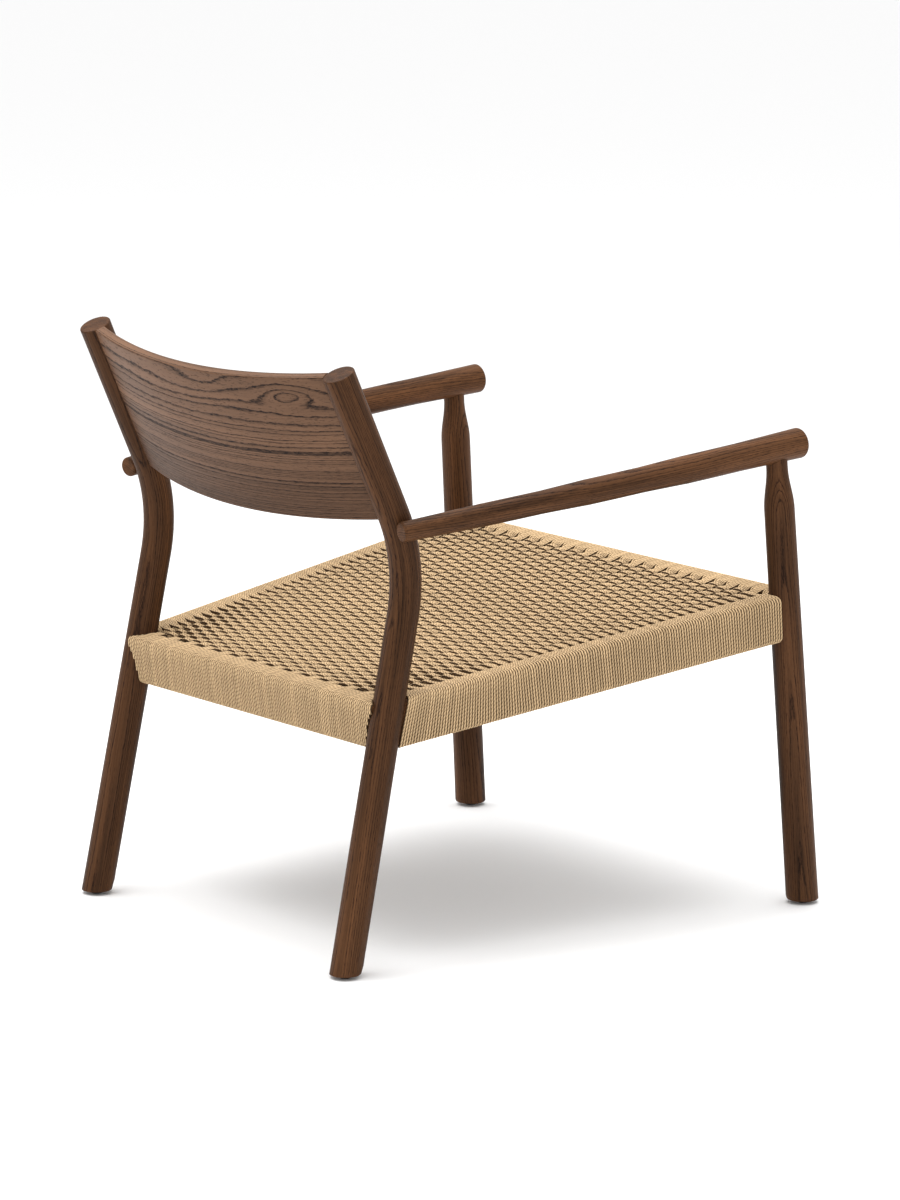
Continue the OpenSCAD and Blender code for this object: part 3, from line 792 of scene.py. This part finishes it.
                # the last value is painted shade: full under the warp, some where the cord begins to dive
                middle.append((
                    x + step * half + self.loosen(0.5),
                    y + squeeze + self.pull(x, y, shift) + self.loosen(0.75),
                    self.level + s * wave * rise + tight * 0.5 + self.loosen(0.35),
                    1.0 if s < 0 else 0.0 if step in (-0.30, 0.30) else self.DIP_SHADE))
            if warp + 1 < self.cord.warps:
                x = (x + self.warp_x(warp + 1, y)) / 2
                # full painted shade where the cord passes between two warps
                middle.append((x, y + self.pull(x, y, shift) + self.loosen(0.5), self.level, 1.0))
        return side, middle, [(-px, py, pz) for px, py, pz in reversed(side)]

    def pull(self, x, y, shift):
        """How far a crossing cord still follows its bent end, away from the side rails."""
        away = self.side_centre(y) - self.seat.rail_width / 2 - abs(x)
        return shift * max(0.0, 1 - away / self.BEND_REACH) ** 2

    def crossing_group(self, g):
        """Four crossing cords on one pair of nails, as two closed loops."""
        cords = [self.crossing_cord(4 * g + i) for i in range(4)]
        centre = (self.crossing_y(4 * g + 1) + self.crossing_y(4 * g + 2)) / 2
        loops = []
        for a, b, reach, proud in (
            (1, 2, self.INNER_TURN, 0.0), (0, 3, 1.5 * self.cord.pitch, self.OUTER_PROUD),
        ):
            go, back = sum(cords[a], []), sum(cords[b], [])
            turn_end = self.side_turn(centre, reach, proud, 1)
            turn_start = self.side_turn(centre, reach, proud, -1)
            loops.append(go + turn_end + list(reversed(back)) + list(reversed(turn_start)))
        return loops

    def side_turn(self, centre, reach, proud, side):
        """The turn over a nail on a side rail, from the rear cord to the front one."""
        flat = 1 / math.cos(self.yaw)
        hw = (self.seat.rail_width - self.d) / 2 + proud
        points = []
        for i in range(7):
            a = math.pi * i / 6
            y = centre + reach * math.cos(a)
            x = side * (self.side_centre(y) - hw * flat)
            z = -self.seat.nail_drop + 0.0004 + reach * math.sin(a)
            points.append((x, self.beside_leg(y, z, hw), z))
        return points

    # front to rear

    def warp_cord(self, warp, i):
        """One warp cord, from the nails of the front rail to those of the rear one."""
        c = self.cord
        mid = warp - (c.warps - 1) / 2
        front_x = mid * c.front_pitch + (i - 1.5) * self.FRONT_SPACING
        rear_x = mid * c.rear_pitch + (i - 1.5) * self.REAR_SPACING
        front = [(front_x, self.front_rail_y + u, z) for u, z in self.section]
        rear = [(rear_x, self.rear_rail_y - u, z) for u, z in self.section]
        run = self.front_inner - self.rear_inner
        middle = []
        for pair in reversed(range(c.crossing // 2)):
            y0 = (self.crossing_y(2 * pair) + self.crossing_y(2 * pair + 1)) / 2
            s = -1 if (warp + pair) % 2 == 0 else 1
            sway = self.loosen(0.8)
            for step, rise in ((-1.0, 0.0), (-0.52, 0.90), (0.0, 1.06), (0.52, 0.90)):
                y = y0 + step * c.pitch
                t = (y - self.rear_inner) / run
                x = rear_x + (front_x - rear_x) * min(1.0, max(0.0, t))
                # the cords of a warp spread where they come up between two crossings
                spread = (i - 1.5) * 0.00010 * s
                # painted shade: full under a crossing, some where the warp begins to dive
                deep = self.WARP_DIP_SHADE if rise == 0 else 1.0 if s < 0 else 0.0
                height = self.level + s * c.warp_wave * rise + self.loosen(0.3)
                middle.append((x + spread + sway * 0.5, y, height, deep))
        return front, middle[1:], list(reversed(rear))

    def warp_group(self, warp):
        """The four cords of a warp, as two closed loops."""
        cords = [self.warp_cord(warp, i) for i in range(4)]
        c = self.cord
        mid = warp - (c.warps - 1) / 2
        loops = []
        for a, b, reach, proud in (
            (1, 2, self.INNER_TURN, 0.0), (0, 3, self.OUTER_TURN, self.OUTER_PROUD),
        ):
            go, back = sum(cords[a], []), sum(cords[b], [])
            hw = (self.seat.rail_width - self.d) / 2 + proud
            rear_turn = self.cross_turn(mid * c.rear_pitch, self.rear_rail_y - hw, reach)
            front_turn = self.cross_turn(mid * c.front_pitch, self.front_rail_y + hw, reach)
            loops.append(go + rear_turn + list(reversed(back)) + list(reversed(front_turn)))
        return loops

    def cross_turn(self, x, y, reach):
        """The turn over a nail on the front or rear rail, from left to right."""
        nail = -self.seat.nail_drop + 0.0004
        angles = [math.pi * i / 6 for i in range(7)]
        return [(x - reach * math.cos(a), y, nail + reach * math.sin(a)) for a in angles]

    def plain_turns(self):
        """The plain turns that fill the rails between the warps."""
        c = self.cord
        front, rear = [], []
        for gap in range(c.warps - 1):
            middle = gap - (c.warps - 2) / 2
            for side in (-0.5, 0.5):
                front.append(middle * c.front_pitch + side * self.FILL_SPACING)
            rear.append(middle * c.rear_pitch)
        rings = []
        for xs, y0, inner in (
            (sorted(front), self.front_rail_y, 1), (sorted(rear), self.rear_rail_y, -1),
        ):
            for x in xs:
                lean = self.loosen(1.2)
                rings.append(([
                    (x + lean * (z / self.seat.rail_height) + self.loosen(0.4), y0 + inner * u, z)
                    for u, z in self.ring], True))
        return rings

    def end_turns(self):
        """The last plain turns on the front and rear rails, cut where a leg stands in their way."""
        c, step = self.cord, self.cord.pitch
        runs = []
        last = (c.warps - 1) / 2
        rails = (
            (last * c.front_pitch + 2 * self.FRONT_SPACING, self.FRONT_ENDS, self.front_rail_y, 1),
            (last * c.rear_pitch + 2 * self.REAR_SPACING, self.REAR_ENDS, self.rear_rail_y, -1),
        )
        for side in (-1, 1):
            for edge, turns, y0, inner in rails:
                for k in range(turns):
                    x = side * (edge + (k + 0.5) * step)
                    runs += self.clipped_turn([(x, y0 + inner * u, z) for u, z in self.ring])
        return runs


# ---------- cord tubes ----------


def cord_tree():
    """Geometry Nodes: a round cord along every path, with the length along it, the direction
    round it, a tone for each cord and how squarely it faces the next one kept for the material."""
    tree = bpy.data.node_groups.new("lay_cord", "GeometryNodeTree")
    face = tree.interface
    face.new_socket("Geometry", in_out="INPUT", socket_type="NodeSocketGeometry")
    for label, kind in (
        ("Diameter", "Float"), ("Sides", "Int"), ("Seed", "Int"), ("Aside", "Vector"),
        ("Material", "Material"),
    ):
        face.new_socket(label, in_out="INPUT", socket_type="NodeSocket" + kind)
    face.new_socket("Geometry", in_out="OUTPUT", socket_type="NodeSocketGeometry")
    given, made = tree.nodes.new("NodeGroupInput"), tree.nodes.new("NodeGroupOutput")

    def keep(geometry, name, kind, value):
        node = add_node(tree, "GeometryNodeStoreNamedAttribute", data_type=kind, domain="POINT")
        join(tree, node.inputs["Geometry"], geometry)
        node.inputs["Name"].default_value = name
        join(tree, node.inputs["Value"], value)
        return node.outputs[0]

    curve = add_node(tree, "GeometryNodeMeshToCurve", {0: given.outputs["Geometry"]}).outputs[0]
    length = add_node(tree, "GeometryNodeSplineParameter").outputs["Length"]
    curve = keep(curve, "cord_run", "FLOAT", length)
    which = add_node(tree, "GeometryNodeCurveOfPoint").outputs["Curve Index"]
    tone = add_node(tree, "FunctionNodeRandomValue", data_type="FLOAT")
    join(tree, tone.inputs["ID"], which)
    join(tree, tone.inputs["Seed"], given.outputs["Seed"])
    curve = keep(curve, "cord_tone", "FLOAT", tone.outputs[1])
    circle = add_node(tree, "GeometryNodeCurvePrimitiveCircle", {
        "Resolution": given.outputs["Sides"], "Radius": Wire(tree, given.outputs["Diameter"]) * 0.5})
    around = Wire(tree, add_node(tree, "GeometryNodeInputPosition").outputs[0]).vector("NORMALIZE")
    ring = keep(circle.outputs[0], "cord_turn", "FLOAT_VECTOR", around)
    tube = add_node(tree, "GeometryNodeCurveToMesh", {
        "Curve": curve, "Profile Curve": ring, "Fill Caps": True}).outputs[0]
    # How squarely the surface faces the neighbouring cords, which the material turns into painted shade
    facing = add_node(tree, "ShaderNodeVectorMath", {
        0: add_node(tree, "GeometryNodeInputNormal").outputs[0], 1: given.outputs["Aside"]},
        operation="DOT_PRODUCT")
    gap = Wire(tree, facing.outputs["Value"]).math("ABSOLUTE")
    tube = keep(tube, "cord_gap", "FLOAT", gap)
    whole = add_node(tree, "GeometryNodeRealizeInstances", {0: tube}).outputs[0]
    smooth = add_node(tree, "GeometryNodeSetShadeSmooth", {0: whole}).outputs[0]
    dressed = add_node(tree, "GeometryNodeSetMaterial", {
        "Geometry": smooth, "Material": given.outputs["Material"]})
    tree.links.new(dressed.outputs[0], made.inputs[0])
    return tree


def lay_cords(name, loops, sizes, material, nodes, seed, aside):
    """Makes one piece from cord paths and hides the CAD solids it stands for. Each path
    comes with whether it is closed."""
    verts, point_shades, edges = [], [], []
    for path, closed in loops:
        first, count = len(verts), len(path)
        verts += [tuple(point) for point, _ in path]
        point_shades += [depth for _, depth in path]
        edges += [(first + i, first + (i + 1) % count) for i in range(count if closed else count - 1)]
    paths = bpy.data.meshes.new(name + "_paths")
    paths.from_pydata(verts, edges, [])
    # cord_depth carries each point's painted shade to the material
    paths.attributes.new("cord_depth", "FLOAT", "POINT").data.foreach_set("value", point_shades)
    holder = bpy.data.objects.new(name + "_paths", paths)
    bpy.context.scene.collection.objects.link(holder)
    tree = bpy.data.node_groups.get("lay_cord") or cord_tree()
    modifier = holder.modifiers.new("lay_cord", "NODES")
    modifier.node_group = tree
    values = {
        "Diameter": sizes.diameter, "Sides": sizes.sides, "Seed": seed, "Aside": aside, "Material": material}
    for item in tree.interface.items_tree:
        if item.item_type == "SOCKET" and item.in_out == "INPUT" and item.name in values:
            modifier[item.identifier] = values[item.name]
    bpy.context.view_layer.update()
    graph = bpy.context.evaluated_depsgraph_get()
    mesh = bpy.data.meshes.new_from_object(holder.evaluated_get(graph), depsgraph=graph)
    bpy.data.objects.remove(holder)
    bpy.data.meshes.remove(paths)
    mesh.name = name
    if not mesh.polygons or material.name not in [m.name for m in mesh.materials if m]:
        raise RuntimeError(f"{name} has no cord in it")
    piece = bpy.data.objects.new(name, mesh)
    bpy.context.scene.collection.objects.link(piece)
    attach(piece, BODY)
    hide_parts(*nodes)
    return piece


def shared_cord_material(scene):
    return bpy.data.materials.get("seat_paper_cord") or cord_material(scene.chair_cord)


def lay_in_parts(scene, stem, parts, count, group, nodes, first_seed, aside):
    """Lays a number of groups of cords as several pieces, one for each part of the seat."""
    cord, material = scene.chair_cord, shared_cord_material(scene)
    plan = Weave(scene.chair_seat, cord)
    for n, part in enumerate(parts):
        low, high = count * n // len(parts), count * (n + 1) // len(parts)
        loops = [(plan.place(loop), True) for i in range(low, high) for loop in group(plan, i)]
        lay_cords(stem + part, loops, cord, material, nodes, cord.seed + first_seed + n, aside)


# ---------- operators ----------

TO_SIDE, TO_REAR = (1, 0, 0), (0, 1, 0)


class ARMCHAIR_OT_crossing_cords(bpy.types.Operator):
    """Lays the cords that run from side to side and round the side rails"""

    bl_idname = "armchair.crossing_cords"
    bl_label = "Lay Crossing Cords"

    def execute(self, context):
        lay_in_parts(
            context.scene, "crossing_cords_", ("rear", "middle", "forward", "front"),
            context.scene.chair_cord.crossing // 4, Weave.crossing_group,
            ("seat_weave", "cord_wrap_left", "cord_wrap_right"), 0, TO_REAR)
        return {"FINISHED"}


class ARMCHAIR_OT_warp_cords(bpy.types.Operator):
    """Lays the warps that run from the front rail to the rear rail"""

    bl_idname = "armchair.warp_cords"
    bl_label = "Lay Warp Cords"

    def execute(self, context):
        lay_in_parts(
            context.scene, "warp_cords_", ("right", "mid_right", "mid_left", "left"),
            context.scene.chair_cord.warps, Weave.warp_group,
            ("seat_weave", "cord_wrap_front", "cord_wrap_rear"), 10, TO_SIDE)
        return {"FINISHED"}


class ARMCHAIR_OT_plain_turns(bpy.types.Operator):
    """Lays the plain turns of cord between the warps and beside the legs"""

    bl_idname = "armchair.plain_turns"
    bl_label = "Lay Plain Turns"

    def execute(self, context):
        scene, cord = context.scene, context.scene.chair_cord
        plan = Weave(scene.chair_seat, cord)
        paths = [(plan.place(path), closed) for path, closed in plan.plain_turns() + plan.end_turns()]
        lay_cords(
            "plain_cord_turns", paths, cord, shared_cord_material(scene),
            ("cord_wrap_front", "cord_wrap_rear"), cord.seed + 20, TO_SIDE)
        return {"FINISHED"}


def node_box(name):
    low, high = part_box(name)
    return Vector(low), Vector(high)


def node_middle(name):
    low, high = node_box(name)
    return (low + high) / 2


class ARMCHAIR_OT_frame_wood(bpy.types.Operator):
    """Stains the legs, arms, rails and dowels, each with grain along its own length"""

    bl_idname = "armchair.frame_wood"
    bl_label = "Finish Frame Wood"

    def execute(self, context):
        finish, sizes, seat = context.scene.chair_wood, context.scene.chair_frame, context.scene.chair_seat
        light, dark, ring = Vector(finish.light), Vector(finish.dark), finish.ring_width
        raw_light, raw_dark = light * 1.5, dark * 2.0
        for side, s in (("left", 1), ("right", -1)):
            foot = node_middle("glide_rear_" + side)
            give("rear_leg_" + side, bent_leg_wood(
                "rear_leg_stain_" + side, foot, -s * sizes.leg_lean, sizes,
                (s * 0.012 + 0.030, -0.052, 0.4 * (s > 0)), light, dark, ring * 0.75))
            foot = node_middle("glide_front_" + side)
            top = Vector((
                foot.x - s * sizes.front_top_in, foot.y + sizes.front_top_back, sizes.front_top_z))
            give("front_leg_" + side, straight_wood(
                "front_leg_stain_" + side, foot, top, 0.034, math.radians(200 if s > 0 else -38),
                light, dark, ring * 0.8))
            low, high = node_box("armrest_" + side)
            give("armrest_" + side, straight_wood(
                "arm_stain_" + side, (s * sizes.arm_rear_half, high.y, low.z + 0.0125),
                (s * sizes.arm_front_half, low.y, high.z - 0.0185), 0.046,
                math.radians(120 if s > 0 else 64), light * 1.29, dark * 1.1, ring * 0.8, ARM_GRAIN))
            low, high = node_box("seat_rail_" + side)
            give("seat_rail_" + side, straight_wood(
                "side_rail_wood_" + side, (s * sizes.rail_rear_half, high.y, high.z - 0.10),
                (s * seat.front_half, low.y, high.z - 0.03), 0.07, 0.6, raw_light, raw_dark, ring))
        for name, turn in (("seat_rail_front", 0.4), ("seat_rail_rear", 1.1)):
            low, high = node_box(name)
            middle = (low + high) / 2
            give(name, straight_wood(
                name + "_wood", (low.x, middle.y, middle.z), (high.x, middle.y, middle.z), 0.08, turn,
                raw_light, raw_dark, ring))
        middle, reach = node_middle("arm_dowels"), Vector((0.3, 0, 0))
        give("arm_dowels", straight_wood(
            "dowel_wood", middle - reach, middle + reach, 0.03, 0.2,
            Vector((0.42, 0.29, 0.17)), Vector((0.20, 0.12, 0.06)), ring))
        return {"FINISHED"}


class ARMCHAIR_OT_panel_wood(bpy.types.Operator):
    """Stains the bent back panel, with bold grain from side to side"""

    bl_idname = "armchair.panel_wood"
    bl_label = "Finish Back Panel"

    def execute(self, context):
        scene, foot = context.scene, node_middle("glide_rear_left")
        sizes = scene.chair_frame
        knee = Vector((0.0, foot.y - sizes.knee_forward, sizes.knee_z))
        give("back_panel", panel_wood(scene.chair_wood, sizes, knee))
        return {"FINISHED"}


class ARMCHAIR_OT_small_parts(bpy.types.Operator):
    """Finishes the cord nails, the glides and their pins"""

    bl_idname = "armchair.small_parts"
    bl_label = "Finish Small Parts"

    def execute(self, context):
        steel, plastic = nail_steel(), glide_plastic()
        for rail in ("front", "rear", "left", "right"):
            give("cord_nails_" + rail, steel)
        give("glide_pins", steel)
        for end in ("front", "rear"):
            for side in ("left", "right"):
                give(f"glide_{end}_{side}", plastic)
        return {"FINISHED"}


FLOOR_HALF = 45.0

# Name, place, width and power in watts
SOFTBOXES = (
    ("top_softbox", (0.3, 0.2, 3.2), 3.0, 112.0),
    ("left_softbox", (2.6, 3.0, 1.9), 2.4, 12.0),
    ("right_softbox", (-4.2, 0.6, 1.9), 2.4, 5.0),
)
LAMP_AIM = Vector((0, 0, 0.4))


class ARMCHAIR_OT_studio(bpy.types.Operator):
    """Sets up the floor, the soft lights and the camera"""

    bl_idname = "armchair.studio"
    bl_label = "Set Up Studio"

    def execute(self, context):
        scene, studio = context.scene, context.scene.chair_studio
        self.make_floor(studio)
        self.make_lights(scene)
        self.make_camera(scene, studio)
        scene.view_settings.view_transform = "Standard"
        return {"FINISHED"}

    def make_floor(self, studio):
        corners = [(x * FLOOR_HALF, y * FLOOR_HALF, 0) for x, y in ((-1, -1), (1, -1), (1, 1), (-1, 1))]
        mesh = bpy.data.meshes.new("studio_floor")
        mesh.from_pydata(corners, [], [(0, 1, 2, 3)])
        floor = bpy.data.objects.new("studio_floor", mesh)
        bpy.context.scene.collection.objects.link(floor)
        material, tree, shader, place = new_material("floor_matt_paint")
        grain = noise(place, (120, 120, 120), 3.0, 0.55)
        base = Vector(studio.floor_colour)
        painted = blend_colour(tree, grain, rgba(base * 0.985), rgba(base))
        join(tree, shader.inputs["Base Color"], painted)
        shader.inputs["Roughness"].default_value = 0.9
        shader.inputs["Specular IOR Level"].default_value = 0.1
        mesh.materials.append(material)

    def make_lights(self, scene):
        world = bpy.data.worlds.new("studio_surround")
        scene.world = world
        world.use_nodes = True
        ground = world.node_tree.nodes["Background"]
        ground.inputs[0].default_value = (1.0, 1.0, 1.0, 1)
        ground.inputs[1].default_value = 1.0
        for name, place, size, power in SOFTBOXES:
            lamp = bpy.data.lights.new(name, "AREA")
            lamp.shape, lamp.size, lamp.energy = "SQUARE", size, power
            holder = bpy.data.objects.new(name, lamp)
            holder.location = place
            holder.rotation_euler = (LAMP_AIM - Vector(place)).to_track_quat("-Z", "Y").to_euler()
            scene.collection.objects.link(holder)

    def make_camera(self, scene, studio):
        a, e = studio.azimuth, studio.elevation
        back = Vector((math.sin(a) * math.cos(e), -math.cos(a) * math.cos(e), math.sin(e)))
        right = Vector((math.cos(a), math.sin(a), 0))
        up = back.cross(right)
        place = Vector(studio.target) + back * studio.distance
        place += right * studio.offset[0] + up * studio.offset[1]
        data = bpy.data.cameras.new("studio_camera")
        data.sensor_fit, data.sensor_width, data.lens = "HORIZONTAL", 36.0, studio.lens
        data.clip_start, data.clip_end = 0.1, 200.0
        camera = bpy.data.objects.new("studio_camera", data)
        camera.matrix_world = Matrix.Translation(place) @ Matrix((right, up, back)).transposed().to_4x4()
        scene.collection.objects.link(camera)
        scene.camera = camera


class ARMCHAIR_PT_panel(bpy.types.Panel):
    """Shows the armchair's steps and sizes"""

    bl_label = "Armchair"
    bl_idname = "ARMCHAIR_PT_panel"
    bl_space_type = "VIEW_3D"
    bl_region_type = "UI"
    bl_category = "Armchair"

    def draw(self, context):
        for operator in OPERATORS:
            self.layout.operator(operator.bl_idname)
        for name in GROUPS:
            group = getattr(context.scene, name)
            box = self.layout.box()
            for key in type(group).__annotations__:
                box.prop(group, key)


OPERATORS = (
    ARMCHAIR_OT_studio,
    ARMCHAIR_OT_frame_wood,
    ARMCHAIR_OT_panel_wood,
    ARMCHAIR_OT_small_parts,
    ARMCHAIR_OT_crossing_cords,
    ARMCHAIR_OT_warp_cords,
    ARMCHAIR_OT_plain_turns,
)
GROUPS = {
    "chair_frame": FrameSizes,
    "chair_seat": SeatSizes,
    "chair_cord": CordSizes,
    "chair_wood": WoodFinish,
    "chair_studio": StudioSetting,
}


def register():
    for cls in (*GROUPS.values(), *OPERATORS, ARMCHAIR_PT_panel):
        bpy.utils.register_class(cls)
    for name, cls in GROUPS.items():
        setattr(bpy.types.Scene, name, PointerProperty(type=cls))


def unregister():
    for name in GROUPS:
        delattr(bpy.types.Scene, name)
    for cls in reversed((*GROUPS.values(), *OPERATORS, ARMCHAIR_PT_panel)):
        bpy.utils.unregister_class(cls)


def main():
    register()
    for operator in OPERATORS:
        group, name = operator.bl_idname.split(".")
        getattr(getattr(bpy.ops, group), name)()


if __name__ == "__main__":
    main()
